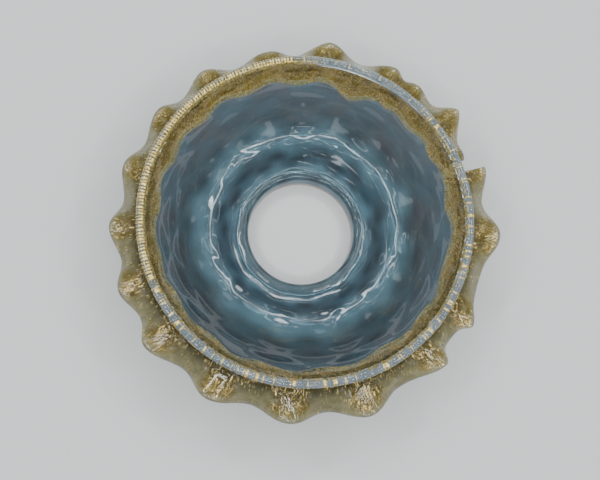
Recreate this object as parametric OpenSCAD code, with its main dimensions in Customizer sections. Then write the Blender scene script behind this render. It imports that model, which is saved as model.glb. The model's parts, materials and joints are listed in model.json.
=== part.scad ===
// Blown glass chandelier bell, mouth up, standing on the ground edge of its neck.
// The axis is Z, and the origin is the middle of the neck's ground edge.
// Everything is hot-worked glass: a blown bell, a thread laid on its lip, a ribbon
// wound round the wall and pinched into lobes, and gold leaf on both trails.

/* [Bell] */
// Diameter of the mouth, at the middle of the lip
mouth_d = 150; // [120:1:190]
// Height of the blown glass, from the neck's ground edge to the top of the wall
bell_h = 48.5; // [38:0.5:70]
// Squareness of the bell's profile at the crown: 2 is an ellipse, more has a flatter crown
squareness = 2.3; // [2:0.05:3]
// The same below the lip: 2 is an ellipse, less leans the wall outwards
lip_lean = 1.26; // [1.16:0.02:2.3]
// Thickness of the wall at the lip
wall_t = 2.6; // [1.8:0.1:3.6]
// Thickness of the crown beside the neck
crown_t = 3.4; // [2.4:0.1:5]

/* [Neck] */
// Diameter of the hole through the neck
bore_d = 55; // [30:0.5:70]
// Thickness of the neck's wall
neck_wall = 4; // [3:0.1:6]
// Height of the neck, from its ground edge to the underside of the crown
neck_h = 8; // [6:0.5:14]
// Radius where the neck flows into the crown outside
neck_fillet = 5; // [2:0.5:5.5]
// Fire-polished radius where the bore opens into the bell
mouth_round = 3; // [1:0.25:3.5]
// Broken outer edge of the ground face
ground_chamfer = 0.5; // [0.2:0.1:0.8]

/* [Lip thread] */
// Diameter of the glass thread laid on the lip
thread_d = 4; // [3.4:0.1:6]
// How much of the thread is flattened where it sits on the wall
thread_flat = 0.5; // [0.4:0.1:1]

/* [Ribbon] */
// Angle where the ribbon was started
ribbon_start = 21; // [0:1:359]
// Open gap between the ribbon's two ends, along the wall
ribbon_gap = 5.5; // [0.5:0.5:12]
// Height of the ribbon's root on the wall, at a lobe
root_h = 8; // [5:0.5:10]
// How much lower the root reaches in the valleys between lobes
root_sag = 3; // [0:0.5:5]
// Distance from the top of the wall down to the ribbon's root
root_drop = 1.5; // [0.5:0.25:5]
// Thickness of the ribbon's free edge on a lobe, where the tongs squeezed it
edge_t = 2; // [1.4:0.1:3.5]
// Thickness of the free edge in the valleys between lobes
valley_t = 3; // [1.8:0.1:4.5]
// How far the free edge lies below the top of the root on a lobe
lobe_sink = 5; // [3:0.5:9]
// How much further it drops in the valleys between lobes
valley_sink = 6.5; // [2:0.5:12]
// Share of a lobe's reach that is left in the widest valleys
valley_share = 0.68; // [0.4:0.02:0.9]

/* [Gold leaf] */
// Thickness of the gold leaf, enlarged so that it is a solid
leaf_t = 0.08; // [0.05:0.01:0.2]
// Distance between leaf bands where the thread was drawn least
dense_pitch = 1.7; // [1.4:0.1:4]
// Distance between leaf bands where the thread was drawn most
sparse_pitch = 7; // [4:0.5:14]
// Share of each pitch that a leaf band covers
band_share = 0.42; // [0.2:0.02:0.7]

/* [Hidden] */
// Hand-pinched lobes of the ribbon: degrees round from its start, and reach beyond the lip
LOBES = [
    [0, 5], [14, 16], [30, 10], [38, 11], [62, 12], [82, 7.5], [104, 10], [124, 10], [143, 11],
    [163, 13], [181, 14], [199, 16], [221, 15.5], [243, 15.5], [266, 16.5], [290, 15],
    [307, 13], [334, 15.5], [356, 13.5]
];
WIDE_VALLEY = 20;   // lobes this many degrees apart have a full valley between them
LEAF_CENTRE = 142;  // angle where the leaf on the thread is densest
LEAF_SPREAD = 52;   // angle from there to where it is sparse
PROFILE_STEP = 5;   // degrees of the wall's curve between profile points
ARC_STEP = 15;      // degrees between profile points on the small radii
RING_STEP = 2;      // degrees between the ribbon's cross-sections
ROOT_STEPS = 4;     // steps down the ribbon's root on the wall
FIN_STEPS = 4;      // steps from the ribbon's root to its free edge
FIN_BEND = 0.55;    // where along its reach the ribbon bends down most
RUN_OUT = 1.3;      // share of half the edge thickness that the rounded edge adds
CLEARANCE = 0.05;   // between the ribbon and the wall it was fused to
LEAF_GAP = 0.03;    // between a leaf patch and the ribbon under it
LEAF_INSET = 0.16;  // share of a ribbon facet left bare on each side of a leaf patch
THREAD_COVER = 35;  // degrees below the horizontal that a leaf band wraps down the thread

$fn = 96;

bore_r = bore_d / 2;
neck_r = bore_r + neck_wall;
crown_r = neck_r + neck_fillet;
lip_r = mouth_d / 2 + wall_t / 2;
wall_reach = lip_r - crown_r;
wall_rise = bell_h - neck_h;
thread_r = thread_d / 2;
thread_z = bell_h + thread_r - thread_flat;
root_top = bell_h - root_drop;

function mix(a, b, share) = a + (b - a) * share;

// Points of an arc, with its ends
function arc(centre, r, from, to) =
    let (steps = ceil(abs(to - from) / ARC_STEP))
    [for (i = [0:steps]) centre + r * [cos(mix(from, to, i / steps)), sin(mix(from, to, i / steps))]];

// Outside of the wall, a squared quarter ellipse from the crown (a = 0) to the lip (a = 90)
function wall_outer(a) = [
    crown_r + wall_reach * pow(sin(a), 2 / squareness),
    bell_h - wall_rise * pow(cos(a), 2 / lip_lean)
];
function wall_normal(a) =
    let (n = [
        squareness * wall_rise * pow(sin(a), 2 - 2 / squareness),
        -lip_lean * wall_reach * pow(cos(a), 2 - 2 / lip_lean)
    ])
    n / norm(n);
function wall_inner(a) = wall_outer(a) - wall_normal(a) * mix(crown_t, wall_t, a / 90);

// Radius of the outside of the wall at a height
function wall_r(z) =
    crown_r + wall_reach * pow(1 - pow((bell_h - z) / wall_rise, lip_lean), 1 / squareness);

// The blown bell: neck, crown and wall in one gather of clear glass
module bell_body() {
    neck_out = [[bore_r, 0], [neck_r - ground_chamfer, 0], [neck_r, ground_chamfer]];
    fillet = arc([crown_r, neck_h - neck_fillet], neck_fillet, 180, 90);
    outer = [for (a = [PROFILE_STEP:PROFILE_STEP:90]) wall_outer(a)];
    inner = [for (a = [90:-PROFILE_STEP:0]) wall_inner(a)];
    crown_top = neck_h + crown_t;
    bore = arc([bore_r + mouth_round, crown_top - mouth_round], mouth_round, 90, 180);
    color("lightsteelblue", 0.5)
        rotate_extrude()
            polygon(concat(neck_out, fillet, outer, inner, bore));
}

// The glass thread that closes the cracked-off lip, laid once round and flattened on the wall
module lip_thread() {
    color("lightcyan", 0.6)
        translate([0, 0, thread_z])
            rotate_extrude()
                translate([mouth_d / 2, 0])
                    intersection() {
                        circle(r = thread_r);
                        translate([-thread_d, thread_flat - thread_r])
                            square([2 * thread_d, 2 * thread_d]);
                    }
}

// Distance between leaf bands at an angle: close where the thread was laid hot, then drawn apart
function leaf_pitch(a) =
    mix(sparse_pitch, dense_pitch, exp(-pow((a - LEAF_CENTRE) / LEAF_SPREAD, 4)));
function leaf_angles(a, last) =
    a > last ? [] : concat([a], leaf_angles(a + leaf_pitch(a) / lip_r * 180 / PI, last));

// One band of leaf wrapped over the exposed part of the thread
module leaf_band(width) {
    rotate_extrude(angle = width)
        translate([mouth_d / 2, 0])
            difference() {
                circle(r = thread_r + leaf_t);
                circle(r = thread_r);
                rotate(-THREAD_COVER)
                    translate([0, -2 * thread_d])
                        square(2 * thread_d);
                translate([-2 * thread_d, -2 * thread_d - thread_r * sin(THREAD_COVER)])
                    square([4 * thread_d, 2 * thread_d]);
            }
}

// Gold leaf on the thread, broken across into bands as the hot glass was drawn out
module lip_gold_leaf() {
    color("gold")
        translate([0, 0, thread_z])
            for (a = leaf_angles(ribbon_start, ribbon_start + 357))
                rotate([0, 0, a])
                    leaf_band(leaf_pitch(a) * band_share / lip_r * 180 / PI);
}

// Lobes of the ribbon as a wave, by degrees from its start: 1 on a lobe, less half way to the next
function lobe_count(a) = lookup(a, [for (i = [0:len(LOBES) - 1]) [LOBES[i].x, i]]);
function lobe_spread(a) =
    let (i = min(floor(lobe_count(a)), len(LOBES) - 2))
    min(1, (LOBES[i + 1].x - LOBES[i].x) / WIDE_VALLEY);
function lobe_wave(a) = 1 - lobe_spread(a) * pow(sin(180 * lobe_count(a)), 2);

// Lowest height of the ribbon's root on the wall
function root_low(a) = root_top - root_h - root_sag * (1 - lobe_wave(a));

// Free edge of the ribbon in its own cross-section
function edge_point(a) = [
    lip_r + lookup(a, LOBES) * mix(valley_share, 1, lobe_wave(a)),
    root_top - lobe_sink - valley_sink * (1 - lobe_wave(a))
];

// Middle of the ribbon's thickness, from the root (s = 0) to the free edge (s = 1)
function fin_mid(a, s) =
    let (
        height = (root_top + root_low(a)) / 2,
        root = [wall_r(height), height],
        edge = edge_point(a),
        bend = [mix(root.x, edge.x, FIN_BEND), max(root.y, edge.y)]
    )
    root * pow(1 - s, 2) + bend * 2 * s * (1 - s) + edge * pow(s, 2);
function fin_side(a, s) =
    let (
        reach = 0.05,
        d = fin_mid(a, min(1, s + reach)) - fin_mid(a, max(0, s - reach))
    )
    [-d.y, d.x] / norm(d);
function fin_edge_t(a) = mix(valley_t, edge_t, lobe_wave(a));
function fin_t(a, s) = fin_edge_t(a) + (root_h - fin_edge_t(a)) * pow(1 - s, 2);
function fin_face(a, i, side) =
    let (s = i / FIN_STEPS)
    fin_mid(a, s) + side * fin_side(a, s) * fin_t(a, s) / 2;

// Cross-section of the ribbon, counter-clockwise: wall, underside, rounded edge, top
function fin_section(a) =
    let (
        wall_points = [for (i = [0:ROOT_STEPS])
            let (z = mix(root_top, root_low(a), i / ROOT_STEPS))
            [wall_r(z) + CLEARANCE, z]],
        under = [for (i = [1:FIN_STEPS]) fin_face(a, i, -1)],
        out = [fin_side(a, 1).y, -fin_side(a, 1).x],
        tip = fin_mid(a, 1) + out * fin_edge_t(a) / 2 * RUN_OUT,
        top = [for (i = [FIN_STEPS:-1:1]) fin_face(a, i, 1)]
    )
    concat(wall_points, under, [tip], top);

ribbon_turn = 360 - ribbon_gap / lip_r * 180 / PI;
RINGS = round(ribbon_turn / RING_STEP);
SIDES = ROOT_STEPS + 2 * FIN_STEPS + 2;
function turned(a, p) = [p.x * cos(a), p.x * sin(a), p.y];
function ring(k) =
    let (a = ribbon_turn * k / RINGS)
    [for (p = fin_section(a)) turned(a + ribbon_start, p)];

// Triangles that close an end: a fan on the root, pairs of points across the fin, the rounded edge
function cap(first, flip) =
    let (
        last = SIDES - 1,
        fin = ROOT_STEPS + 1,
        faces = concat(
            [for (i = [0:ROOT_STEPS]) [last, i + 1, i]],
            [for (i = [0:FIN_STEPS - 2]) [last - i, fin + i + 1, fin + i]],
            [for (i = [0:FIN_STEPS - 2]) [last - i - 1, fin + i + 1, last - i]],
            [[fin + FIN_STEPS + 1, fin + FIN_STEPS, fin + FIN_STEPS - 1]]
        )
    )
    [for (f = faces) let (g = [for (v = f) v + first]) flip ? [g[2], g[1], g[0]] : g];

// The pinched ribbon: one hot trail wound round the wall and squeezed into lobes with ribbed tongs
module ruffle_ribbon() {
    points = [for (k = [0:RINGS]) each ring(k)];
    sides = [for (k = [0:RINGS - 1], i = [0:SIDES - 1])
        let (
            a = k * SIDES + i,
            b = k * SIDES + (i + 1) % SIDES
        )
        each [[a, b, a + SIDES], [b, b + SIDES, a + SIDES]]];
    color("khaki", 0.8)
        polyhedron(points, concat(cap(0, true), sides, cap(RINGS * SIDES, false)));
}

// A thin patch of leaf over one facet on top of the ribbon
module leaf_patch(k, i) {
    near = ring(k);
    far = ring(k + 1);
    corners = [near[i], far[i], far[i + 1], near[i + 1]];
    middle = (corners[0] + corners[1] + corners[2] + corners[3]) / 4;
    up = cross(corners[1] - corners[3], corners[2] - corners[0]);
    lift = up / norm(up);
    base = [for (c = corners) mix(c, middle, 2 * LEAF_INSET) + lift * LEAF_GAP];
    top = [for (c = base) c + lift * leaf_t];
    polyhedron(concat(base, top), [
        [0, 1, 2], [0, 2, 3], [4, 6, 5], [4, 7, 6],
        [0, 5, 1], [0, 4, 5], [1, 6, 2], [1, 5, 6],
        [2, 7, 3], [2, 6, 7], [3, 4, 0], [3, 7, 4]
    ]);
}

// Gold leaf on the ribbon, torn into patches when the ribbon was pinched
module ruffle_gold_leaf() {
    color("goldenrod")
        for (k = [1:RINGS - 2])
            let (i = SIDES - 2 - (k * 3) % (FIN_STEPS - 1))
            leaf_patch(k, i);
}

bell_body();
lip_thread();
lip_gold_leaf();
ruffle_ribbon();
ruffle_gold_leaf();
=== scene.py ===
"""The looks of a blown glass chandelier bell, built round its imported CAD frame.

The bell stands mouth up on the ground edge of its neck. Its clear glass took crossed ribs from a dip
mould, a glass thread with gold leaf closes its lip, and an amber ribbon wound round the wall was pinched
into lobes with ribbed tongs. Sizes are millimetres until a mesh is made, and angles are degrees.
"""

import json
import logging
import math
import random
from dataclasses import dataclass
from enum import Enum
from typing import Callable, Sequence

import bpy
import numpy as np
from mathutils import Matrix, Vector, noise


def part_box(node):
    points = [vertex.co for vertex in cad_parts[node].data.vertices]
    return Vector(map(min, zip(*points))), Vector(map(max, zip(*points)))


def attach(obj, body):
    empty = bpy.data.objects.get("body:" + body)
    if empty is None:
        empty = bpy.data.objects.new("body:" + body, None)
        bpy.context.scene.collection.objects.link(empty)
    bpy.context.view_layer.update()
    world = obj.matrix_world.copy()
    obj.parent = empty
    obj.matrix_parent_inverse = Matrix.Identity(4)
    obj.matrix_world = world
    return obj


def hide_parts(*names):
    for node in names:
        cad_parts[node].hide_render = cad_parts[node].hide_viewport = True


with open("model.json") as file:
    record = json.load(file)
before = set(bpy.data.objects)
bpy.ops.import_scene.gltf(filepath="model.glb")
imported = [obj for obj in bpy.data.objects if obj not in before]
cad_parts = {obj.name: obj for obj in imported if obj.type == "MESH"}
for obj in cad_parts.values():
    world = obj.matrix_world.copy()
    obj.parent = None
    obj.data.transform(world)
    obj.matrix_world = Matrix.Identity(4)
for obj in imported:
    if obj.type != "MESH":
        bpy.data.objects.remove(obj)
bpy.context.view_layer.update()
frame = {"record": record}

MM = 0.001
FULL_TURN = 360.0
MERGE_MM = 0.01
log = logging.getLogger("glass_bell")

Colour = tuple[float, float, float]
Profile = list[tuple[float, float]]
Piece = bpy.types.Object
Socket = bpy.types.NodeSocket


# ---------------------------------------------------------------- small tools


def mix(low: float, high: float, share: float) -> float:
    """Value part of the way from low to high; arrays work too."""
    return low + (high - low) * share


def smooth(low: float, high: float, value: np.ndarray) -> np.ndarray:
    """Smooth step from 0 at low to 1 at high."""
    share = np.clip((value - low) / (high - low), 0.0, 1.0)
    return share * share * (3.0 - 2.0 * share)


def box_mm(node: str) -> tuple[Vector, Vector]:
    """Lowest and highest corner of a CAD node, in millimetres."""
    low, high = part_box(node)
    return Vector(low) / MM, Vector(high) / MM


def points_of(obj: Piece) -> np.ndarray:
    """Vertices of a mesh in millimetres, one row each."""
    flat = np.empty(len(obj.data.vertices) * 3)
    obj.data.vertices.foreach_get("co", flat)
    return flat.reshape(-1, 3) / MM


def put_points(obj: Piece, points: np.ndarray) -> None:
    """Moves a mesh's vertices to these places in millimetres."""
    obj.data.vertices.foreach_set("co", (points * MM).ravel())
    obj.data.update()


def grain(points: np.ndarray, size: float, seed: float = 0.0) -> np.ndarray:
    """Perlin noise at points, from about -1 to 1.

    Args:
        points: places in millimetres, one row each.
        size: size of the grains in millimetres.
        seed: offset that gives another pattern.

    Returns:
        One value for each point.
    """
    shift = Vector((seed, seed * 1.7, seed * 2.3))
    return np.array([noise.noise(Vector(p) / size + shift) for p in points])


def deselect_all() -> None:
    """Leaves nothing selected, in object mode."""
    if bpy.context.mode != "OBJECT":
        bpy.ops.object.mode_set(mode="OBJECT")
    bpy.ops.object.select_all(action="DESELECT")


def pick(obj: Piece) -> None:
    """Selects one object alone and makes it active."""
    deselect_all()
    obj.select_set(True)
    bpy.context.view_layer.objects.active = obj


def edit(obj: Piece, choose: str = "SELECT") -> None:
    """Opens one object in edit mode with all of it selected, or none."""
    pick(obj)
    bpy.ops.object.mode_set(mode="EDIT")
    bpy.ops.mesh.select_all(action=choose)


def close_up(obj: Piece) -> None:
    """Merges doubled vertices and turns every face outwards."""
    edit(obj)
    bpy.ops.mesh.remove_doubles(threshold=MERGE_MM * MM)
    bpy.ops.mesh.normals_make_consistent(inside=False)
    deselect_all()


def shade(obj: Piece, sharp_angle: float = 50.0) -> None:
    """Smooth shading, with edges sharper than an angle left crisp."""
    pick(obj)
    bpy.ops.object.shade_smooth_by_angle(angle=math.radians(sharp_angle))


def turned(name: str, profile: Profile, steps: int, turn: float = FULL_TURN) -> Piece:
    """Turns a piece, as on a lathe: its closed section is drawn once and swept round the axis.

    Args:
        name: name of the piece.
        profile: radius and height of each corner of the section, in millimetres.
        steps: steps in the sweep.
        turn: degrees of the sweep; less than a full turn leaves two ends, which are filled.

    Returns:
        The piece, with its place in its mesh.
    """
    deselect_all()
    bpy.ops.mesh.primitive_circle_add(vertices=len(profile), radius=MM, fill_type="NOTHING")
    obj = bpy.context.object
    obj.name = obj.data.name = name
    put_points(obj, np.array([(r, 0.0, z) for r, z in profile]))
    sweep = obj.modifiers.new("sweep", "SCREW")
    sweep.axis, sweep.angle = "Z", math.radians(turn)
    sweep.steps = sweep.render_steps = steps
    bpy.ops.object.modifier_apply(modifier=sweep.name)
    if turn < FULL_TURN:
        edit(obj, "DESELECT")
        bpy.ops.mesh.select_non_manifold()
        bpy.ops.mesh.fill_holes(sides=0)
    close_up(obj)
    return obj


def paint(obj: Piece, name: str, values: np.ndarray) -> None:
    """Stores one number for each vertex, which a material reads back by name."""
    layer = obj.data.attributes.new(name, "FLOAT", "POINT")
    layer.data.foreach_set("value", values.astype(np.float32))


def keep_faces(obj: Piece, wanted: np.ndarray) -> None:
    """Deletes every face of a mesh that isn't wanted."""
    edit(obj, "DESELECT")
    bpy.ops.mesh.select_mode(type="FACE")
    bpy.ops.object.mode_set(mode="OBJECT")
    obj.data.polygons.foreach_set("select", ~wanted)
    bpy.ops.object.mode_set(mode="EDIT")
    bpy.ops.mesh.delete(type="FACE")
    bpy.ops.mesh.select_mode(type="VERT")
    deselect_all()


def thicken(obj: Piece, thickness: float) -> None:
    """Gives a sheet its thickness in millimetres, outwards from its face."""
    solid = obj.modifiers.new("thickness", "SOLIDIFY")
    solid.thickness = thickness * MM
    solid.offset = 1.0
    pick(obj)
    bpy.ops.object.modifier_apply(modifier=solid.name)


def face_centres(obj: Piece) -> np.ndarray:
    """Middle of each face in millimetres."""
    flat = np.empty(len(obj.data.polygons) * 3)
    obj.data.polygons.foreach_get("center", flat)
    return flat.reshape(-1, 3) / MM


def angle_of(points: np.ndarray) -> np.ndarray:
    """Angle of each point round the axis, from 0 to 360 degrees."""
    return np.degrees(np.arctan2(points[:, 1], points[:, 0])) % FULL_TURN


# ------------------------------------------------------------------- finishes


class Bench:
    """A material's node tree, with short calls to add and join nodes."""

    def __init__(self, name: str) -> None:
        """Starts an empty material with a surface shader and Object coordinates."""
        self.material = bpy.data.materials.new(name)
        self.material.use_nodes = True
        self.tree = self.material.node_tree
        self.tree.nodes.clear()
        self.output = self.tree.nodes.new("ShaderNodeOutputMaterial")
        self.shader = self.tree.nodes.new("ShaderNodeBsdfPrincipled")
        self.join(self.shader.outputs[0], self.output.inputs["Surface"])
        self.place = self.tree.nodes.new("ShaderNodeTexCoord").outputs["Object"]

    def join(self, source: Socket, target: Socket) -> None:
        """Links two sockets."""
        self.tree.links.new(source, target)

    def plain(self, **values: object) -> None:
        """Sets the shader's own sockets, named with underscores for spaces."""
        for name, value in values.items():
            self.shader.inputs[name.replace("_", " ")].default_value = value

    def noise(self, size: float, detail: float = 3.0, rough: float = 0.5) -> Socket:
        """Noise whose grains are size millimetres across, from 0 to 1."""
        node = self.tree.nodes.new("ShaderNodeTexNoise")
        node.inputs["Scale"].default_value = 1.0 / (size * MM)
        node.inputs["Detail"].default_value = detail
        node.inputs["Roughness"].default_value = rough
        self.join(self.place, node.inputs["Vector"])
        return node.outputs["Fac"]

    def cells(self, size: float) -> Socket:
        """Distance within cells that are size millimetres across."""
        node = self.tree.nodes.new("ShaderNodeTexVoronoi")
        node.inputs["Scale"].default_value = 1.0 / (size * MM)
        self.join(self.place, node.inputs["Vector"])
        return node.outputs["Distance"]

    def painted(self, name: str) -> Socket:
        """Number that was stored for each vertex under a name."""
        node = self.tree.nodes.new("ShaderNodeAttribute")
        node.attribute_name = name
        return node.outputs["Fac"]

    def blended(self, share: Socket, low: Socket, high: Socket) -> Socket:
        """Mixes two colours, from low at 0 to high at 1."""
        node = self.tree.nodes.new("ShaderNodeMix")
        node.data_type = "RGBA"
        factor, first, second = (node.inputs[i] for i in (0, 6, 7))
        for source, target in ((share, factor), (low, first), (high, second)):
            self.join(source, target)
        return node.outputs[2]

    def times(self, first: Socket, second: Socket) -> Socket:
        """Product of two numbers."""
        node = self.tree.nodes.new("ShaderNodeMath")
        node.operation = "MULTIPLY"
        self.join(first, node.inputs[0])
        self.join(second, node.inputs[1])
        return node.outputs[0]

    def ramp(self, source: Socket, stops: Sequence[tuple[float, Colour]]) -> Socket:
        """Colours a value by its place between stops."""
        node = self.tree.nodes.new("ShaderNodeValToRGB")
        self.join(source, node.inputs[0])
        elements = node.color_ramp.elements
        while len(elements) < len(stops):
            elements.new(0.5)
        for element, (at, colour) in zip(elements, stops):
            element.position = at
            element.color = (*colour, 1.0)
        return node.outputs["Color"]

    def span(self, source: Socket, low: float, high: float, to_low: float, to_high: float) -> Socket:
        """Stretches a value's span from low..high to another span, clamped."""
        node = self.tree.nodes.new("ShaderNodeMapRange")
        self.join(source, node.inputs["Value"])
        for name, value in zip(("From Min", "From Max", "To Min", "To Max"), (low, high, to_low, to_high)):
            node.inputs[name].default_value = value
        return node.outputs["Result"]

    def bump(self, height: Socket, depth: float, strength: float, after: Socket | None = None) -> Socket:
        """Bump of a height, depth millimetres deep, on top of an earlier bump if given."""
        node = self.tree.nodes.new("ShaderNodeBump")
        node.inputs["Distance"].default_value = depth * MM
        node.inputs["Strength"].default_value = strength
        self.join(height, node.inputs["Height"])
        if after is not None:
            self.join(after, node.inputs["Normal"])
        return node.outputs["Normal"]


@dataclass(frozen=True)
class Glass:
    """Clear glass: its colour where it is drawn thin and where it is dense, and its ripple.

    The share between the two colours is painted on the piece's vertices under the name "tone"; on the bell
    this share is painted light and shade, not glass drawn thin or dense.
    """

    name: str
    thin: tuple[Colour, Colour]
    dense: tuple[Colour, Colour]
    passes: Colour
    depth: float = 3.0
    clearness: float = 1.0
    roughness: float = 0.01
    ripple_size: float = 9.0
    ripple_depth: float = 0.35
    grit: float = 0.0
    fused: bool = False
    speckle: float = 0.0
    speckle_colour: tuple[Colour, Colour] = ((0.42, 0.27, 0.08), (0.95, 0.74, 0.34))

    def material(self) -> bpy.types.Material:
        """Builds the glass.

        Returns:
            A material with a clear shader, its absorption inside, and a colour and ripple by nodes; on the
            bell the colour carries painted light and shade.
        """
        bench = Bench(self.name)
        bench.plain(IOR=1.5, Transmission_Weight=self.clearness)
        fall = [-math.log(share) / (self.depth * MM) for share in self.passes]
        inside = bench.tree.nodes.new("ShaderNodeVolumeAbsorption")
        inside.inputs["Density"].default_value = max(fall)
        inside.inputs["Color"].default_value = (*(1.0 - f / max(fall) for f in fall), 1.0)
        bench.join(inside.outputs[0], bench.output.inputs["Volume"])
        cloud = bench.noise(self.ripple_size * 0.8, 3.0)
        thin, dense = (bench.ramp(cloud, ((0.36, a), (0.64, b))) for a, b in (self.thin, self.dense))
        # on the bell the tone is painted light and shade: the thin colour is painted light, the dense one
        # painted shade
        colour = bench.blended(bench.painted("tone"), thin, dense)
        rough = bench.span(bench.noise(14.0, 4.0), 0.35, 0.75, self.roughness, self.roughness + 0.03)
        if self.fused:
            deep, bright = FUSED_AMBER
            amber = bench.ramp(bench.noise(2.2, 3.0, 0.6), ((0.36, deep), (0.64, bright)))
            # Painted highlight: a pale line where the fused number is near 0.3, along the lower edge of the
            # amber band.
            edge = bench.ramp(bench.painted("fused"), ((0.05, BLACK), (0.3, WHITE), (0.75, BLACK)))
            amber = bench.blended(edge, amber, bench.ramp(cloud, ((0.3, PAINTED_EDGE_HIGHLIGHT), (0.7, PAINTED_EDGE_HIGHLIGHT))))
            colour = bench.blended(bench.painted("fused"), colour, amber)
        if self.speckle > 0.0:
            colour, rough = self.speckled(bench, colour, rough, "fused" if self.fused else "tone")
        bench.join(colour, bench.shader.inputs["Base Color"])
        bench.join(rough, bench.shader.inputs["Roughness"])
        ripple = bench.bump(bench.noise(self.ripple_size, 2.0, 0.4), self.ripple_depth, 0.6)
        fine = bench.noise(self.ripple_size / 3.5, 1.0, 0.3)
        cords = bench.bump(fine, self.ripple_depth * 0.15, 0.5, ripple)
        if self.grit > 0.0:
            cords = bench.bump(bench.noise(0.9, 2.0, 0.6), self.grit, 0.5, cords)
        bench.join(cords, bench.shader.inputs["Normal"])
        return bench.material

    def speckled(self, bench: Bench, colour: Socket, rough: Socket, where: str) -> tuple[Socket, Socket]:
        """Scatters fine metal specks through the glass.

        Args:
            bench: the material being built.
            colour: colour of the glass between specks.
            rough: roughness of the glass between specks.
            where: name of the painted numbers that say where specks are dense.

        Returns:
            Colour and roughness of the glass and its specks.
        """
        drift = bench.span(bench.noise(5.0, 2.0), 0.35, 0.65, 0.80, 1.15)
        dust = bench.times(bench.noise(0.55, 2.0, 0.7), drift)
        bare = 0.0 if self.fused else 0.78
        dust = bench.times(dust, bench.span(bench.painted(where), 0.1, 0.7, bare, 1.0))
        edge = 0.66 - 0.2 * self.speckle
        mask = bench.span(dust, edge, edge + 0.04, 0.0, 1.0)
        bench.join(mask, bench.shader.inputs["Metallic"])
        metal = bench.span(bench.noise(0.8, 1.0), 0.3, 0.7, 0.25, 0.6)
        dark, light = self.speckle_colour
        specks = bench.ramp(bench.noise(0.8, 1.0), ((0.42, dark), (0.58, light)))
        return bench.blended(mask, colour, specks), bench.blended(mask, rough, metal)


@dataclass(frozen=True)
class Leaf:
    """Gold leaf, crackled by the drawing of the hot glass under it."""

    name: str
    bright: Colour = (1.0, 0.82, 0.36)
    deep: Colour = (0.76, 0.52, 0.13)

    def material(self) -> bpy.types.Material:
        """Builds the leaf: metal with a crackle and uneven shine."""
        bench = Bench(self.name)
        bench.plain(Metallic=1.0)
        tone = bench.ramp(bench.noise(1.6, 3.0, 0.6), ((0.35, self.deep), (0.62, self.bright)))
        bench.join(tone, bench.shader.inputs["Base Color"])
        bench.join(bench.span(bench.noise(0.8, 2.0), 0.3, 0.7, 0.24, 0.50), bench.shader.inputs["Roughness"])
        crackle = bench.bump(bench.cells(0.5), 0.08, 0.7)
        bench.join(crackle, bench.shader.inputs["Normal"])
        return bench.material


@dataclass(frozen=True)
class GroundGlass:
    """Glass left frosted and faintly pink by the grinding wheel."""

    name: str = "ground edge"
    tone: Colour = (0.80, 0.70, 0.66)

    def material(self) -> bpy.types.Material:
        """Builds the frost: a rough, half-clear shader with fine grit."""
        bench = Bench(self.name)
        bench.plain(IOR=1.5, Transmission_Weight=0.45)
        darker = tuple(0.8 * c for c in self.tone)
        grit = bench.noise(0.25, 3.0, 0.7)
        bench.join(bench.ramp(grit, ((0.3, darker), (0.7, self.tone))), bench.shader.inputs["Base Color"])
        bench.join(bench.span(grit, 0.2, 0.8, 0.45, 0.7), bench.shader.inputs["Roughness"])
        bench.join(bench.bump(grit, 0.05, 0.8), bench.shader.inputs["Normal"])
        return bench.material


@dataclass(frozen=True)
class Paper:
    """Plain matt studio floor."""

    name: str
    tone: Colour

    def material(self) -> bpy.types.Material:
        """Builds the floor's even, pale surface."""
        bench = Bench(self.name)
        bench.plain(Base_Color=(*self.tone, 1.0), Roughness=0.9)
        return bench.material


FUSED_AMBER = ((0.72, 0.49, 0.07), (0.92, 0.80, 0.28))
# Painted highlight: the pale line along the lower edge of the fused amber band.
PAINTED_EDGE_HIGHLIGHT = (1.0, 0.95, 0.74)
BLACK, WHITE = (0.0, 0.0, 0.0), (1.0, 1.0, 1.0)
# On the bell the thin colours are painted light, in the pale rings and on the ribs, and the dense colours
# painted shade.
BLOWN_GLASS = Glass(
    "blown glass",
    thin=((0.44, 0.70, 0.80), (0.36, 0.58, 0.68)),
    dense=((0.15, 0.215, 0.26), (0.19, 0.205, 0.23)),
    passes=(0.91, 0.94, 0.955),
    clearness=0.92,
    ripple_size=16.0,
    ripple_depth=0.06,
    fused=True,
    speckle=0.82,
)
THREAD_GLASS = Glass(
    "thread glass",
    thin=((0.82, 0.90, 0.91), (0.58, 0.69, 0.72)),
    dense=((0.90, 0.72, 0.26), (0.70, 0.52, 0.14)),
    passes=(0.92, 0.94, 0.95),
    clearness=0.80,
    ripple_size=12.0,
    ripple_depth=0.03,
)
AMBER_GLASS = Glass(
    "amber glass",
    thin=((0.76, 0.73, 0.58), (0.54, 0.52, 0.38)),
    dense=((0.54, 0.43, 0.16), (0.34, 0.285, 0.11)),
    passes=(0.61, 0.57, 0.37),
    clearness=0.92,
    roughness=0.01,
    ripple_size=5.0,
    ripple_depth=0.25,
    grit=0.025,
    speckle=0.30,
)
GOLD_LEAF = Leaf("gold leaf")
GROUND = GroundGlass()


# ------------------------------------------------------------------ the shape


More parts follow.
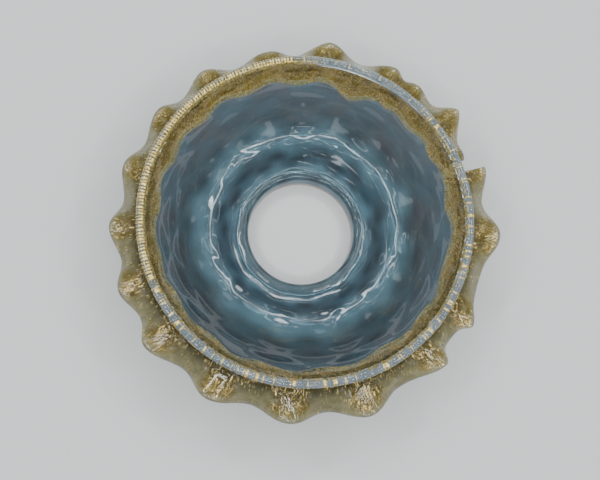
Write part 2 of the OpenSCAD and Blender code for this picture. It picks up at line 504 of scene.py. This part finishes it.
@dataclass
class WallShape:
    """Section of the bell: a squared curve from a flat crown to a leaning lip, on a short neck."""

    bore_r: float = float(frame["record"]["mounts"][0]["dims"]["r_mm"])
    lip_r: float = box_mm("bell_body")[1].x
    bell_h: float = box_mm("bell_body")[1].z
    neck_wall: float = 4.0
    neck_h: float = 8.0
    neck_fillet: float = 5.0
    mouth_round: float = 3.0
    ground_chamfer: float = 0.5
    crown_t: float = 3.4
    wall_t: float = 2.6
    squareness: float = 2.3
    lip_lean: float = 1.26

    @property
    def crown_r(self) -> float:
        """Radius where the neck's fillet meets the crown."""
        return self.bore_r + self.neck_wall + self.neck_fillet

    @property
    def rise(self) -> float:
        """Height of the wall above the underside of the crown."""
        return self.bell_h - self.neck_h

    def outer(self, share: float) -> tuple[float, float]:
        """Point outside the wall, from the crown at 0 to the lip at 1."""
        turn = share * math.pi / 2
        reach = (self.lip_r - self.crown_r) * math.sin(turn) ** (2 / self.squareness)
        return self.crown_r + reach, self.bell_h - self.rise * max(math.cos(turn), 0.0) ** (2 / self.lip_lean)

    def normal(self, share: float) -> tuple[float, float]:
        """Outward direction of the wall at a share of its run."""
        turn = share * math.pi / 2
        out = self.squareness * self.rise * math.sin(turn) ** (2 - 2 / self.squareness)
        reach = self.lip_r - self.crown_r
        down = self.lip_lean * reach * max(math.cos(turn), 0.0) ** (2 - 2 / self.lip_lean)
        size = math.hypot(out, down)
        return out / size, -down / size

    def inner(self, share: float) -> tuple[float, float]:
        """Point inside the wall, across from outer at the same share."""
        thickness = mix(self.crown_t, self.wall_t, share)
        (r, z), (nr, nz) = self.outer(share), self.normal(share)
        return r - nr * thickness, z - nz * thickness

    def outer_r(self, height: np.ndarray) -> np.ndarray:
        """Radius of the outside of the wall at a height."""
        depth = np.clip((self.bell_h - height) / self.rise, 0.0, 1.0)
        reach = (1 - depth**self.lip_lean) ** (1 / self.squareness)
        return self.crown_r + (self.lip_r - self.crown_r) * reach


SHAPE = WallShape()


def arc(centre: tuple[float, float], radius: float, start: float, end: float, steps: int) -> Profile:
    """Points of an arc from one angle to another, with its ends."""
    angles = [math.radians(mix(start, end, i / steps)) for i in range(steps + 1)]
    return [(centre[0] + radius * math.cos(a), centre[1] + radius * math.sin(a)) for a in angles]


# ------------------------------------------------------------------ the blown bell


class Skin(Enum):
    """Which surface of the bell a ring of its section lies on."""

    OUTSIDE = "outside of the wall"
    INSIDE = "inside of the wall"
    PLAIN = "neck, bore and rim"


@dataclass(frozen=True)
class Ring:
    """One ring of the bell's section, with the way its relief moves."""

    r: float
    z: float
    skin: Skin = Skin.PLAIN
    run: float = 0.0
    out: tuple[float, float] = (0.0, 0.0)


@dataclass
class BellBody:
    """The blown bell: neck, crown and wall of clear glass, quilted by the dip mould's crossed ribs.

    Each painted light ring is its radius, its width and how pale it is, a band of painted reflection.
    The wall is amber where the ribbon is fused to it, richest at rich_at degrees, and edge_bead is the ridge
    along that band's lower edge.
    """

    segments: int = 480
    wall_steps: int = 68
    columns: int = 12
    rows: float = 5.0
    stretch: float = 0.7
    softness: float = 0.28
    crown_relief: float = 0.26
    wall_relief: float = 0.80
    outside_share: float = 0.45
    ring_count: float = 8.0
    ring_depth: float = 0.085
    edge_bead: float = 0.24
    bead_w: float = 0.9
    rich_at: float = 125.0
    rich_w: float = 48.0
    painted_light_rings: tuple[tuple[float, float, float], ...] = ((32.0, 5.0, 1.0), (50.0, 6.0, 0.9))
    groove: float = 0.9
    groove_r: float = 34.0
    groove_w: float = 2.3
    wander: float = 0.35
    sway: float = 0.12
    relief_top: float = 33.0
    frost_h: float = 3.0

    def rings(self) -> list[Ring]:
        """Lists the section's rings: up the outside, over the rim, down the inside and the bore."""
        shares = [i / self.wall_steps for i in range(self.wall_steps + 1)]
        gaps = [math.dist(SHAPE.outer(a), SHAPE.outer(b)) for a, b in zip(shares, shares[1:])]
        run = np.cumsum([0.0] + gaps)
        run = run / run[-1]
        neck_r = SHAPE.bore_r + SHAPE.neck_wall
        edge = [(SHAPE.bore_r, 0.0), (neck_r - SHAPE.ground_chamfer, 0.0), (neck_r, SHAPE.ground_chamfer)]
        neck = [(neck_r, mix(SHAPE.ground_chamfer, SHAPE.neck_h - SHAPE.neck_fillet, i / 3)) for i in (1, 2)]
        fillet = arc((SHAPE.crown_r, SHAPE.neck_h - SHAPE.neck_fillet), SHAPE.neck_fillet, 180, 90, 10)
        out = [Ring(*SHAPE.outer(a), Skin.OUTSIDE, s, SHAPE.normal(a)) for a, s in zip(shares, run)]
        (r_out, top), (r_in, _) = SHAPE.outer(1.0), SHAPE.inner(1.0)
        rim = [Ring(mix(r_out, r_in, i / 4), top) for i in (1, 2, 3)]
        down = [Ring(*SHAPE.inner(a), Skin.INSIDE, s, SHAPE.normal(a)) for a, s in zip(shares, run)][::-1]
        crown_top = SHAPE.neck_h + SHAPE.crown_t
        crown = [mix(SHAPE.crown_r, SHAPE.bore_r + SHAPE.mouth_round, i / 8) for i in range(1, 8)]
        length = sum(gaps)
        step_in = [Ring(r, crown_top, Skin.INSIDE, (r - SHAPE.crown_r) / length, (0.0, -1.0)) for r in crown]
        bend = (SHAPE.bore_r + SHAPE.mouth_round, crown_top - SHAPE.mouth_round)
        bore = arc(bend, SHAPE.mouth_round, 90, 180, 8)
        drop = [(SHAPE.bore_r, mix(crown_top - SHAPE.mouth_round, self.frost_h, i / 4)) for i in (1, 2, 3, 4)]
        start = [Ring(*p) for p in edge + neck + fillet[:-1]]
        return start + out + rim + down + step_in + [Ring(*p) for p in bore + drop]

    def quilt(self, angle: np.ndarray, run: np.ndarray) -> np.ndarray:
        """Height of the crossed ribs, from 0 in a diamond's hollow to 1 on a rib.

        Args:
            angle: degrees round the axis.
            run: share of the way from the crown to the lip, below 0 towards the bore.

        Returns:
            Relief for each place.
        """
        turn = np.radians(angle)
        drift = self.wander * (np.sin(2 * turn + 0.6) + 0.6 * np.sin(3 * turn + 2.0 + 2.5 * run))
        across = self.columns * turn / 2 + drift
        stretch = np.sign(run) * np.abs(run) ** self.stretch
        along = math.pi * (self.rows * stretch + self.sway * np.sin(3 * turn + 1.1))
        ribs = np.abs(np.sin(across + along) * np.sin(across - along))
        return 1.0 - np.sqrt(ribs * ribs + self.softness**2)

    def press(self, obj: Piece, rings: Sequence[Ring]) -> None:
        """Presses the ribs into both skins, which operators can't do cell by cell."""
        points = points_of(obj)
        radius = np.hypot(points[:, 0], points[:, 1])
        places = np.array([(k.r, k.z) for k in rings])
        gaps = (radius[:, None] - places[:, 0]) ** 2 + (points[:, 2][:, None] - places[:, 1]) ** 2
        nearest = gaps.argmin(axis=1)
        angle = angle_of(points)
        run = np.array([k.run for k in rings])[nearest]
        out = np.array([k.out for k in rings])[nearest]
        inside = np.array([k.skin is Skin.INSIDE for k in rings])[nearest]
        outside = np.array([k.skin is Skin.OUTSIDE for k in rings])[nearest]
        relief = self.quilt(angle, run) - 0.6
        depth = mix(self.crown_relief, self.wall_relief, smooth(0.28, 0.6, run))
        inner = -relief * depth * smooth(-0.04, 0.08, run) * (1 - smooth(0.9, 1.0, run))
        turn = np.radians(angle)
        groove_r = self.groove_r + 0.5 * np.sin(12 * turn + 0.4) + 0.35 * np.sin(7 * turn + 1.7)
        inner = inner + self.groove * np.exp(-(((radius - groove_r) / self.groove_w) ** 2))
        inner = inner + self.swirl(turn, run) * smooth(0.02, 0.2, run) * (1 - smooth(0.85, 0.98, run))
        low = Ruffle().root_low(angle - Ruffle.start)
        height = np.array([k.z for k in rings])[nearest]
        bead = self.edge_bead * np.exp(-(((height - low) / self.bead_w) ** 2))
        inner = inner - bead * (radius > SHAPE.crown_r)
        under_ribbon = 1 - smooth(self.relief_top - 4, self.relief_top, points[:, 2])
        outer = (relief - 0.4) * depth * self.outside_share * smooth(0.02, 0.12, run) * under_ribbon
        move = np.where(inside, inner, np.where(outside, outer, 0.0))
        way = np.stack([np.cos(np.radians(angle)), np.sin(np.radians(angle))], axis=1)
        points[:, :2] += way * (out[:, :1] * move[:, None])
        points[:, 2] += out[:, 1] * move
        put_points(obj, points)
        # The bell's tone is painted light and shade: pale rings of painted reflection, paler ribs and darker
        # hollows.
        paint(obj, "tone", self.tone(angle, radius, relief + 0.6))
        rich = 0.72 + 0.28 * np.exp(-(((angle - self.rich_at) / self.rich_w) ** 2))
        above = height - low
        fused = smooth(-0.5, 0.5, above) * mix(1.0, rich, smooth(0.5, 2.0, above)) * (inside | outside)
        paint(obj, "fused", fused)

    def swirl(self, turn: np.ndarray, run: np.ndarray) -> np.ndarray:
        """Height in millimetres of the wavy rings that blowing and turning left inside.

        Args:
            turn: radians round the axis.
            run: share of the way from the crown to the lip.

        Returns:
            Relief for each place.
        """
        sweep = 1.5 * np.sin(7 * turn + 0.9 + 5 * run) + 1.1 * np.sin(12 * turn + 2.3)
        sweep = sweep + 0.7 * np.sin(19 * turn - 6 * run)
        fade = 0.65 + 0.35 * np.sin(5 * turn + 9 * run + 0.4)
        return self.ring_depth * fade * np.sin(2 * math.pi * self.ring_count * run + sweep)

    def tone(self, angle: np.ndarray, radius: np.ndarray, relief: np.ndarray) -> np.ndarray:
        """Painted light and shade: pale rings of painted reflection by the bore and at the foot of the wall,
        darker between.

        Args:
            angle: degrees round the axis.
            radius: distance from the axis in millimetres.
            relief: height of the crossed ribs, from 0 to 1.

        Returns:
            Share of the dark colour, from 0 to 1.
        """
        turn = np.radians(angle)
        wave = 1.1 * np.sin(12 * turn + 0.8) + 0.9 * np.sin(7 * turn + 2.0) + 0.6 * np.sin(19 * turn)
        place = radius + wave
        # painted reflection: pale rings where the lights are mirrored in the crown and at the foot of the
        # wall
        pale = sum(share * np.exp(-(((place - r) / w) ** 2)) for r, w, share in self.painted_light_rings)
        # painted light and shade: the ribs paler and the hollows between them darker
        return np.clip(1.0 - pale - 0.25 * (relief - 0.5), 0.0, 1.0)

    def build(self) -> Piece:
        """Blows, presses and grinds the bell.

        Returns:
            The bell's glass, with its frosted neck edge in a second material.
        """
        rings = self.rings()
        obj = turned("blown_bell", [(k.r, k.z) for k in rings], self.segments)
        self.press(obj, rings)
        shade(obj)
        obj.data.materials.append(BLOWN_GLASS.material())
        obj.data.materials.append(GROUND.material())
        middle = face_centres(obj)
        bore_side = np.hypot(middle[:, 0], middle[:, 1]) < SHAPE.bore_r + 0.1
        frosted = (middle[:, 2] < 0.01) | (bore_side & (middle[:, 2] < self.frost_h))
        frosted |= middle[:, 2] < SHAPE.ground_chamfer
        obj.data.polygons.foreach_set("material_index", frosted.astype(np.int32))
        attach(obj, "root")
        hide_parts("bell_body")
        log.info("%s: %d faces, %d frosted", obj.name, len(obj.data.polygons), frosted.sum())
        return obj


# ------------------------------------------------------------------ the lip


class LeafZone(Enum):
    """How much leaf the lip thread carries along a stretch."""

    DENSE = "dense"
    SPARSE = "sparse"
    BARE = "bare"


@dataclass
class LipThread:
    """The glass thread on the lip, and the gold leaf on it."""

    flat: float = 0.5
    lift: float = 0.03
    segments: int = 720
    leaf_segments: int = 1560
    leaf_steps: int = 24
    leaf_from: float = -38.0
    leaf_to: float = 222.0
    leaf_gap: float = 0.02
    leaf_t: float = 0.05
    dense: tuple[float, float] = (92.0, 203.0)
    bare: tuple[float, float] = (42.0, 86.0)
    seed: int = 11

    @property
    def radius(self) -> float:
        """Radius of the thread itself."""
        low, high = box_mm("lip_thread")
        return (high.z - low.z + self.flat) / 2

    @property
    def centre(self) -> tuple[float, float]:
        """Radius of the ring and height of the thread's middle."""
        high = box_mm("lip_thread")[1]
        return high.x - self.radius, high.z - self.radius

    def zone(self, angle: float) -> LeafZone:
        """Tells which zone an angle falls in."""
        if self.dense[0] <= angle <= self.dense[1]:
            return LeafZone.DENSE
        return LeafZone.BARE if self.bare[0] <= angle <= self.bare[1] else LeafZone.SPARSE

    def sway(self, points: np.ndarray) -> np.ndarray:
        """Lets the hand-laid thread wander a little, evenly over each cross-section."""
        turn = np.radians(angle_of(points))
        r = 0.07 * np.sin(5 * turn + 0.4) + 0.05 * np.sin(11 * turn + 1.9)
        z = 0.04 * (np.sin(7 * turn + 2.2) - 1)
        up = smooth(self.centre[1] - self.radius, self.centre[1], points[:, 2])
        moved = points.copy()
        moved[:, 0] += np.cos(turn) * r
        moved[:, 1] += np.sin(turn) * r
        moved[:, 2] += z * up
        return moved

    def build_glass(self) -> Piece:
        """Lays the thread.

        Returns:
            The thread's glass.
        """
        reach = math.degrees(math.asin((self.radius - self.flat - self.lift) / self.radius))
        section = arc(self.centre, self.radius, -reach, 180 + reach, 30)
        bottom = [(mix(section[-1][0], section[0][0], i / 4), section[0][1]) for i in (1, 2, 3)]
        obj = turned("lip_thread_glass", section + bottom, self.segments)
        points = points_of(obj)
        put_points(obj, self.sway(points))
        paint(obj, "tone", self.tone(points))
        shade(obj)
        obj.data.materials.append(THREAD_GLASS.material())
        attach(obj, "root")
        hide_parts("lip_thread")
        log.info("%s: %d faces", obj.name, len(obj.data.polygons))
        return obj

    def tone(self, points: np.ndarray) -> np.ndarray:
        """How golden the thread looks at points: most inside the lip where the leaf is dense."""
        angle = angle_of(points)
        inner_side = smooth(0.6, -0.8, np.hypot(points[:, 0], points[:, 1]) - self.centre[0])
        start, end = self.dense
        return inner_side * smooth(start - 12, start + 8, angle) * (1 - smooth(end - 5, end + 15, angle))

    def bars(self) -> list[tuple[float, float, float, float]]:
        """Lays out the bars the leaf broke into.

        Returns:
            Each bar's angle, width in millimetres, and first and last angle round the thread.
        """
        dice = random.Random(self.seed)
        found, angle = [], 0.0
        while angle < FULL_TURN:
            zone = self.zone(angle)
            if zone is LeafZone.DENSE:
                pitch, width = dice.uniform(1.25, 1.75), dice.uniform(0.55, 0.95)
                first, last = dice.uniform(-30, 25), dice.uniform(150, 215)
            elif zone is LeafZone.SPARSE:
                pitch, width = dice.choice((1.4, 2.8, 4.6, 6.0, 7.4)), dice.choice((0.35, 0.5, 0.8, 1.4))
                first, last = dice.uniform(-15, 60), dice.uniform(120, 205)
            else:
                pitch, width = dice.uniform(5.0, 11.0), dice.uniform(0.2, 0.35)
                first, last = dice.uniform(10, 60), dice.uniform(110, 150)
            found.append((angle, width, first, last))
            angle += math.degrees(pitch / self.centre[0])
        return found

    def leaf_mask(self, middle: np.ndarray) -> np.ndarray:
        """Chooses the faces that leaf covers.

        Args:
            middle: middle of each face of a sheet over the thread, in millimetres.

        Returns:
            True where there is leaf.
        """
        angle = angle_of(middle)
        across = np.hypot(middle[:, 0], middle[:, 1]) - self.centre[0]
        tilt = np.degrees(np.arctan2(middle[:, 2] - self.centre[1], across))
        tilt = np.where(tilt < -90, tilt + FULL_TURN, tilt)
        ragged = grain(middle, 0.8, 3.0)
        wanted = np.zeros(len(middle), dtype=bool)
        for at, width, first, last in self.bars():
            away = np.abs((angle - at + 180) % FULL_TURN - 180) * math.pi / 180 * self.centre[0]
            wanted |= (away < width / 2 * (1 + 0.5 * ragged)) & (tilt > first) & (tilt < last)
        dense = np.array([self.zone(a) is LeafZone.DENSE for a in angle])
        bare = np.array([self.zone(a) is LeafZone.BARE for a in angle])
        flecks = grain(middle, 0.9, 9.0) + 0.5 * grain(middle, 5.0, 21.0)
        inner_side = smooth(112, 150, tilt)
        wanted |= ~bare & (inner_side > 0.4) & (flecks > np.where(dense, -0.12, 0.04))
        wanted |= ~bare & (tilt < 30) & (flecks > 0.26)
        skin = np.hypot(across, middle[:, 2] - self.centre[1]) > 0.95 * self.radius
        return wanted & skin & ~(grain(middle, 0.6, 31.0) > 0.42)

    def build_leaf(self) -> Piece:
        """Lays the gold leaf over the thread.

        Returns:
            The leaf, as thin closed flakes.
        """
        section = arc(self.centre, self.radius + self.leaf_gap, self.leaf_from, self.leaf_to, self.leaf_steps)
        obj = turned("lip_leaf_bars", section, self.leaf_segments)
        keep_faces(obj, self.leaf_mask(face_centres(obj)))
        put_points(obj, self.sway(points_of(obj)))
        thicken(obj, self.leaf_t)
        shade(obj)
        obj.data.materials.append(GOLD_LEAF.material())
        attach(obj, "root")
        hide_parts("lip_gold_leaf")
        log.info("%s: %d faces", obj.name, len(obj.data.polygons))
        return obj


# ------------------------------------------------------------------ the ruffle


@dataclass(frozen=True)
class Lobe:
    """One pinch of the tongs: where it is, how far it reaches, and how its nose is turned and pointed."""

    at: float
    reach: float
    lift: float = 0.0
    hook: float = 0.0
    point: float = 0.0


@dataclass
class Ruffle:
    """The amber ribbon wound round the wall and pinched into lobes, with its gold leaf."""

    start: float = 21.0
    gap: float = 5.5
    root_h: float = 8.0
    root_sag: float = 3.0
    root_drop: float = 1.5
    droop: float = 3.5
    droop_at: float = 49.0
    droop_w: float = 7.0
    edge_t: float = 2.0
    valley_t: float = 3.0
    lobe_sink: float = 5.0
    valley_sink: float = 6.5
    valley_share: float = 0.68
    wide_valley: float = 20.0
    bend: float = 0.55
    clearance: float = 0.05
    steps: int = 2400
    rib_pitch: float = 1.45
    rib_depth: float = 0.16
    leaf_gap: float = 0.02
    leaf_t: float = 0.05
    lobes: tuple[Lobe, ...] = (
        Lobe(0, 5),
        Lobe(14, 16, 0.6, 1.0),
        Lobe(30, 10),
        Lobe(38, 11, 0.5),
        Lobe(62, 12, 0.8, -1.0),
        Lobe(82, 7.5),
        Lobe(104, 10, 0.3),
        Lobe(124, 10, 0.0, -1.0),
        Lobe(143, 11, 0.4),
        Lobe(163, 13, 0.2, -1.0),
        Lobe(181, 14, 0.4),
        Lobe(199, 16, 0.0, -1.0),
        Lobe(221, 15.5, 0.4, -1.0),
        Lobe(243, 15.5, 0.0, 0.5),
        Lobe(266, 16.5, 0.6),
        Lobe(290, 15, 1.4, 2.0, 0.6),
        Lobe(307, 14, 1.0, -1.5, 4.0),
        Lobe(334, 15.5, 0.2, 0.5),
        Lobe(356, 13.5, 0.3),
    )
    flat_r: float = 100.0
    flat_reach: float = 10.0
    flat_tip: float = 1.0

    @property
    def turn(self) -> float:
        """Degrees from the ribbon's start to its cut end."""
        return FULL_TURN - math.degrees(self.gap / SHAPE.lip_r)

    def flat_ribbon(self, name: str) -> Piece:
        """Spins a plain ribbon whose section runs from 0 at the root to 1 at the edge.

        Args:
            name: name of the piece.

        Returns:
            A closed ribbon, not yet bent to its shape.
        """
        root = [(0.0, 1 - i / 2) for i in range(4)]
        under = [(i / 9, -1.0) for i in range(9)]
        tip = arc((1.0, 0.0), 1.0, -90, 90, 6)
        tip = [(1 + (x - 1) * self.flat_tip / self.flat_reach, y) for x, y in tip]
        top = [(1 - i / 13, 1.0) for i in range(1, 13)]
        section = root + under + tip + top
        places = [(self.flat_r + share * self.flat_reach, side) for share, side in section]
        return turned(name, places, self.steps, self.turn)

    def flat_places(self, points: np.ndarray) -> tuple[np.ndarray, np.ndarray, np.ndarray]:
        """Reads each point's angle from the start, share of the reach and side of the ribbon."""
        angle = np.degrees(np.arctan2(points[:, 1], points[:, 0]))
        angle = np.where(angle < -1.0, angle + FULL_TURN, angle)
        share = (np.hypot(points[:, 0], points[:, 1]) - self.flat_r) / self.flat_reach
        return np.clip(angle, 0.0, self.turn), share, points[:, 2]

    def between(self, angle: np.ndarray, read: Callable[[Lobe], float]) -> np.ndarray:
        """A lobe's value at an angle, passing evenly from lobe to lobe."""
        return np.interp(angle, [k.at for k in self.lobes], [read(k) for k in self.lobes])

    def wave(self, angle: np.ndarray) -> np.ndarray:
        """How far an angle is up a lobe: 1 on its nose, down to 0 in a wide valley."""
        at = np.array([k.at for k in self.lobes])
        count = np.interp(angle, at, np.arange(len(at)))
        low = np.clip(count.astype(int), 0, len(at) - 2)
        spread = np.minimum(1.0, (at[low + 1] - at[low]) / self.wide_valley)
        return 1.0 - spread * np.sin(np.pi * count) ** 2

    def middle(self, angle: np.ndarray, share: np.ndarray) -> tuple[np.ndarray, np.ndarray]:
        """Radius and height of the ribbon's middle at an angle and a share of its reach."""
        wave = self.wave(angle)
        root_top = SHAPE.bell_h - self.root_drop
        root_z = root_top - (self.root_h + self.root_sag * (1 - wave)) / 2
        root_r = SHAPE.outer_r(root_z)
        pointed = wave ** (1 + self.between(angle, lambda k: k.point))
        reach = self.between(angle, lambda k: k.reach) * mix(self.valley_share, 1.0, pointed)
        edge_r = SHAPE.lip_r + reach
        edge_z = root_top - self.lobe_sink - self.valley_sink * (1 - wave)
        edge_z = edge_z + self.between(angle, lambda k: k.lift) * wave
        bend_r, bend_z = mix(root_r, edge_r, self.bend), np.maximum(root_z, edge_z)
        keep, turn, come = (1 - share) ** 2, 2 * share * (1 - share), share**2
        r = root_r * keep + bend_r * turn + edge_r * come
        z = root_z * keep + bend_z * turn + edge_z * come
        return r, z

    def root_low(self, angle: np.ndarray) -> np.ndarray:
        """Lowest place of the root on the wall, in millimetres, at angles from the start."""
        return SHAPE.bell_h - self.root_drop - self.root_t(np.clip(angle % FULL_TURN, 0.0, self.turn))

    def root_t(self, angle: np.ndarray) -> np.ndarray:
        """Height of the root on the wall: more in the valleys, and most where the ribbon drooped."""
        droop = self.droop * np.exp(-(((angle - self.droop_at) / self.droop_w) ** 2))
        return self.root_h + self.root_sag * (1 - self.wave(angle)) + droop

    def ribs(self, angle: np.ndarray, share: np.ndarray) -> np.ndarray:
        """Depth of the marks that the ribbed tongs left, fanned out on each lobe."""
        arc_mm = np.radians(angle) * (SHAPE.lip_r + share * 12.0)
        line = arc_mm / self.rib_pitch + 0.35 * np.sin(angle * 0.9) + 0.25 * np.sin(share * 5.0 + angle * 0.3)
        ridge = np.abs(np.sin(math.pi * line)) - 0.6
        squeezed = smooth(0.30, 0.75, self.wave(angle))
        along = smooth(0.12, 0.35, share) * (1 - smooth(0.93, 1.0, share))
        return ridge * self.rib_depth * squeezed * along

    def tone(self, points: np.ndarray) -> np.ndarray:
        """How amber flat points are: dense at the root and on the lobes, pale on flanks and edge."""
        angle, share, _ = self.flat_places(points)
        patches = grain(np.stack([np.radians(angle) * 85.0, share * 14.0, share * 0.0], axis=1), 6.0, 3.0)
        root = 1 - smooth(0.10, 0.42, share)
        lobe = smooth(0.35, 0.85, self.wave(angle) + 0.35 * patches) * (1 - smooth(0.84, 0.99, share))
        return np.clip(np.maximum(root, lobe), 0.0, 1.0)

    def bent(self, points: np.ndarray, lift: float = 0.0) -> np.ndarray:
        """Bends flat points to the ribbon's real shape.

        Args:
            points: places on the flat ribbon.
            lift: how far above the ribbon's skin to put them, in millimetres.

        Returns:
            Places in the row frame, in millimetres.
        """
        angle, share, side = self.flat_places(points)
        wave = self.wave(angle)
        inner = np.clip(share, 0.0, 1.0)
        r, z = self.middle(angle, inner)
        ahead = self.middle(angle, np.minimum(inner + 0.03, 1.0))
        behind = self.middle(angle, np.maximum(inner - 0.03, 0.0))
        along_r, along_z = ahead[0] - behind[0], ahead[1] - behind[1]
        size = np.hypot(along_r, along_z)
        along_r, along_z = along_r / size, along_z / size
        edge_t = mix(self.valley_t, self.edge_t, wave)
        root_t = self.root_t(angle)
        bead = 0.5 * np.exp(-(((inner - 0.95) / 0.07) ** 2))
        thick = edge_t + (root_t - edge_t) * (1 - inner) ** 2 + bead
        half = side * (thick / 2 + self.ribs(angle, inner) + lift)
        tip = np.maximum(share - 1.0, 0.0) * self.flat_reach / self.flat_tip * (edge_t / 2 + lift)
        fin_r = r - along_z * half + along_r * tip
        fin_z = z + along_r * half + along_z * tip
        root_z = SHAPE.bell_h - self.root_drop - root_t * (1 - side) / 2
        wall_r = SHAPE.outer_r(root_z) + self.clearance + lift + inner * 10.0
        seat = smooth(0.0, 0.22, inner)
        out_r, out_z = mix(wall_r, fin_r, seat), mix(root_z, fin_z, seat)
        turn = np.radians(angle + self.start + self.between(angle, lambda k: k.hook) * wave * inner**2)
        return np.stack([out_r * np.cos(turn), out_r * np.sin(turn), out_z], axis=1)

    def build_glass(self) -> Piece:
        """Winds and pinches the ribbon.

        Returns:
            The ribbon's glass.
        """
        obj = self.flat_ribbon("amber_ruffle")
        flat = points_of(obj)
        paint(obj, "tone", self.tone(flat))
        put_points(obj, self.bent(flat))
        close_up(obj)
        shade(obj, 70.0)
        obj.data.materials.append(AMBER_GLASS.material())
        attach(obj, "root")
        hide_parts("ruffle_ribbon")
        log.info("%s: %d faces", obj.name, len(obj.data.polygons))
        return obj

    def build_leaf(self) -> Piece:
        """Tears gold leaf into flakes over the ribbon.

        Returns:
            The leaf, as thin closed flakes.
        """
        obj = self.flat_ribbon("ruffle_leaf_flakes")
        middle = face_centres(obj)
        angle, share, side = self.flat_places(middle)
        spread = np.stack([np.radians(angle) * 85.0, share * 16.0, side * 20.0], axis=1)
        flakes = grain(spread, 0.55, 5.0) + 0.35 * grain(spread, 4.0, 17.0)
        level = mix(0.46, 0.58, smooth(0.2, 0.9, share))
        wanted = (flakes > level) & (share > 0.06) & (share < 0.97) & (np.abs(side) > 0.9)
        ends = (angle < 0.3) | (angle > self.turn - 0.3)
        keep_faces(obj, wanted & ~ends)
        put_points(obj, self.bent(points_of(obj), self.leaf_gap))
        thicken(obj, self.leaf_t)
        shade(obj)
        obj.data.materials.append(GOLD_LEAF.material())
        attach(obj, "root")
        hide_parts("ruffle_gold_leaf")
        log.info("%s: %d faces", obj.name, len(obj.data.polygons))
        return obj


# ------------------------------------------------------------------ the studio


@dataclass(frozen=True)
class LightRing:
    """Softboxes hung evenly round the axis and aimed at the bell."""

    name: str
    count: int
    lean: float
    distance: float
    length: float
    width: float
    radiance: float
    first: float = 0.0
    tone: Colour = (1.0, 1.0, 1.0)

    def build(self, aim: Vector) -> None:
        """Hangs the softboxes, each leaning this many degrees from straight overhead."""
        for i in range(self.count):
            turn, lean = math.radians(self.first + FULL_TURN * i / self.count), math.radians(self.lean)
            way = Vector((math.cos(turn) * math.sin(lean), math.sin(turn) * math.sin(lean), math.cos(lean)))
            lamp = bpy.data.lights.new(f"{self.name}_{i}", "AREA")
            lamp.shape, lamp.size, lamp.size_y = "RECTANGLE", self.length, self.width
            lamp.energy, lamp.color = self.radiance * math.pi * self.length * self.width, self.tone
            obj = bpy.data.objects.new(lamp.name, lamp)
            across = Vector((-math.sin(turn), math.cos(turn), 0.0))
            obj.matrix_world = Matrix.Translation(aim + way * self.distance) @ Matrix(
                (across, way.cross(across), way)
            ).transposed().to_4x4()
            obj.visible_camera = False
            bpy.context.collection.objects.link(obj)


@dataclass
class Studio:
    """Pale floor, soft light, and a camera above the bell."""

    azimuth: float = -24.8
    elevation: float = 78.85
    roll: float = 24.8
    distance: float = 272.4
    pan: tuple[float, float] = (1.31, -12.12)
    lens: float = 36.0
    floor_tone: Colour = (0.74, 0.74, 0.73)
    floor_size: float = 40.0
    floor_drop: float = 0.05
    sky: Colour = (0.70, 0.74, 0.80)
    sky_power: float = 0.22
    rings: tuple[LightRing, ...] = (
        LightRing("high_box", 16, 35.0, 1.1, 0.26, 0.06, 17.0, 12.0, (0.95, 0.98, 1.0)),
        LightRing("window", 16, 58.0, 1.3, 0.12, 0.30, 2.2, 5.0, (0.93, 0.97, 1.0)),
        LightRing("second_box", 16, 44.0, 1.15, 0.28, 0.025, 10.0, 3.0, (0.93, 0.97, 1.0)),
        LightRing("inner_box", 12, 23.0, 1.1, 0.20, 0.02, 10.0, 8.0, (0.95, 0.98, 1.0)),
        LightRing("overhead", 1, 0.0, 1.25, 0.12, 0.12, 7.0),
    )

    def build_camera(self) -> None:
        """Places the camera over the mouth, turned so that +X lies to the right."""
        turn, tilt, roll = (math.radians(a) for a in (self.azimuth, self.elevation, self.roll))
        back = Vector((math.sin(turn) * math.cos(tilt), -math.cos(turn) * math.cos(tilt), math.sin(tilt)))
        level = Vector((math.cos(turn), math.sin(turn), 0.0))
        over = back.cross(level)
        right = level * math.cos(roll) + over * math.sin(roll)
        up = over * math.cos(roll) - level * math.sin(roll)
        mouth = Vector((0.0, 0.0, LipThread().centre[1]))
        place = mouth + back * self.distance + level * self.pan[0] + over * self.pan[1]
        camera = bpy.data.objects.new("camera", bpy.data.cameras.new("camera"))
        camera.data.lens = self.lens
        camera.data.sensor_width = 36.0
        camera.data.clip_start = 0.01
        camera.matrix_world = Matrix.Translation(place * MM) @ Matrix((right, up, back)).transposed().to_4x4()
        bpy.context.collection.objects.link(camera)
        bpy.context.scene.camera = camera

    def build(self) -> None:
        """Sets out the floor, the lights and the camera."""
        self.build_camera()
        deselect_all()
        bpy.ops.mesh.primitive_plane_add(size=self.floor_size, location=(0, 0, -self.floor_drop * MM))
        floor = bpy.context.object
        floor.name = "floor"
        floor.data.materials.append(Paper("studio paper", self.floor_tone).material())
        aim = Vector((0.0, 0.0, SHAPE.bell_h / 2 * MM))
        for ring in self.rings:
            ring.build(aim)
        world = bpy.data.worlds.new("studio")
        bpy.context.scene.world = world
        world.use_nodes = True
        air = world.node_tree.nodes["Background"]
        air.inputs["Color"].default_value = (*self.sky, 1.0)
        air.inputs["Strength"].default_value = self.sky_power
        log.info("studio: %d softboxes", sum(ring.count for ring in self.rings))


def main() -> None:
    """Builds the studio and every piece in order."""
    logging.basicConfig(level=logging.INFO, format="%(name)s: %(message)s")
    Studio().build()
    BellBody().build()
    lip = LipThread()
    lip.build_glass()
    lip.build_leaf()
    ruffle = Ruffle()
    ruffle.build_glass()
    ruffle.build_leaf()


if __name__ == "__main__":
    main()
